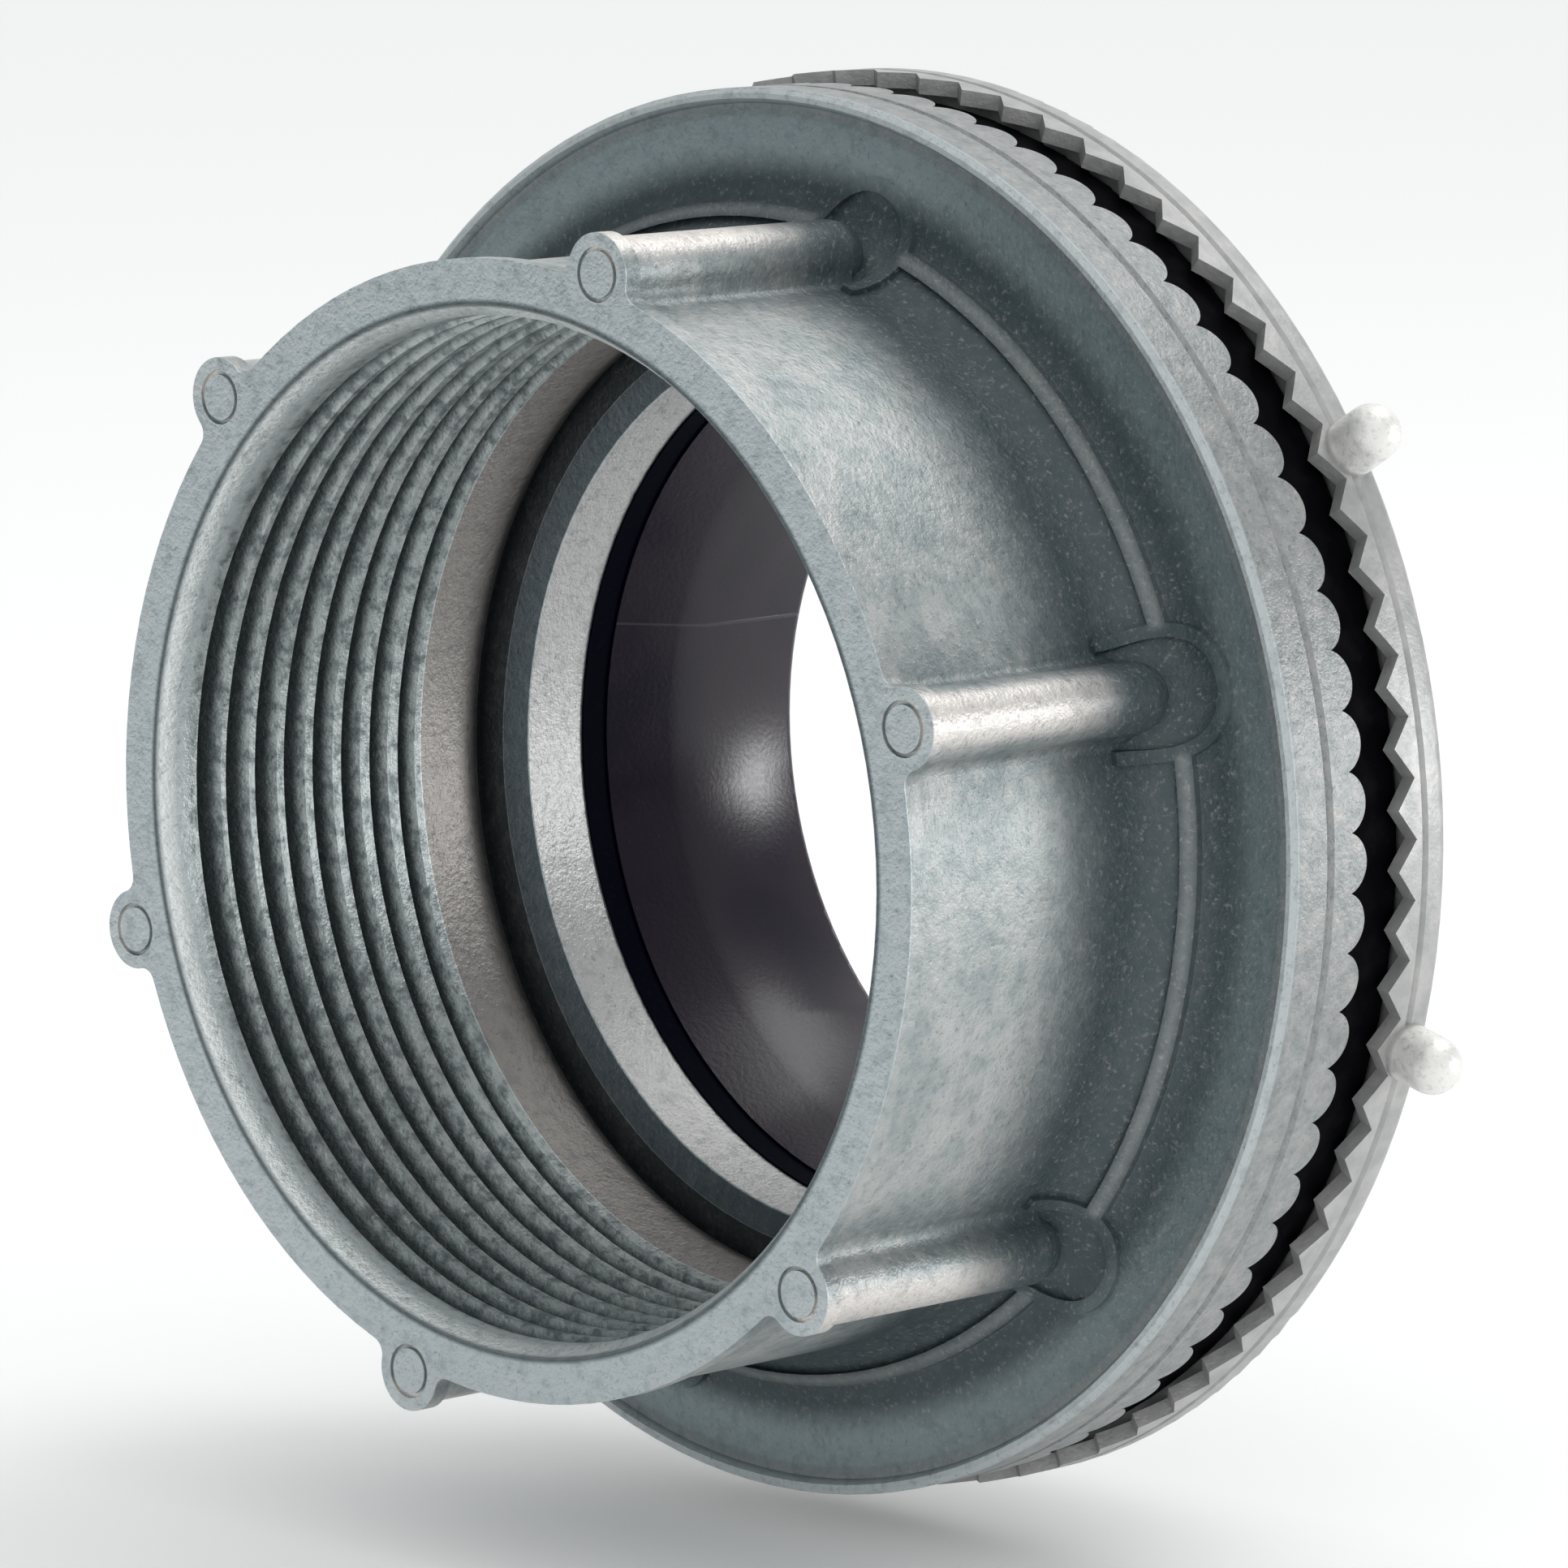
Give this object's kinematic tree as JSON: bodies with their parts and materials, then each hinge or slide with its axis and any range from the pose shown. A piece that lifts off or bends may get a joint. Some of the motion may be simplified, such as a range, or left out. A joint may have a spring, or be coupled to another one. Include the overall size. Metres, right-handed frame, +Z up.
{
  "type": "conduit hub",
  "caption": "Threaded conduit hub that clamps to an enclosure wall: ribbed barrel, toothed flange, sealing ring, lock nut and insulated throat.",
  "frame": {"origin": "on the fitting's axis, in the plane of the flange's tooth tips, which is where the enclosure wall seats", "axes": "+Y along the axis, through the wall into the enclosure; the conduit enters along +Y through the mouth at -Y; +Z up"},
  "size_m": [0.086, 0.0465, 0.082],
  "materials": {
    "zinc_body": "matt die-cast zinc",
    "liner_plastic": "semi-gloss dark purple-grey",
    "ring_rubber": "matt black",
    "zinc_nut": "bright zinc plate"
  },
  "bodies": {
    "hub": {"hub_body": "zinc_body", "throat_liner": "liner_plastic"},
    "ring": {"sealing_ring": "ring_rubber"},
    "nut": {"lock_nut": "zinc_nut"}
  },
  "joints": [
    {"name": "nut_turn", "type": "hinge", "parent": "hub", "child": "ring", "pos_m": [0, 0, 0], "axis": [0, 1, 0], "range_deg": [0, 2880]},
    {"name": "nut_travel", "type": "slide", "parent": "ring", "child": "nut", "axis": [0, 1, 0], "range_m": [0, 0.0177]}
  ],
  "couplings": [
    {"joint": "nut_travel", "follows": "nut_turn", "m_per_rad": 0.00035152}
  ]
}
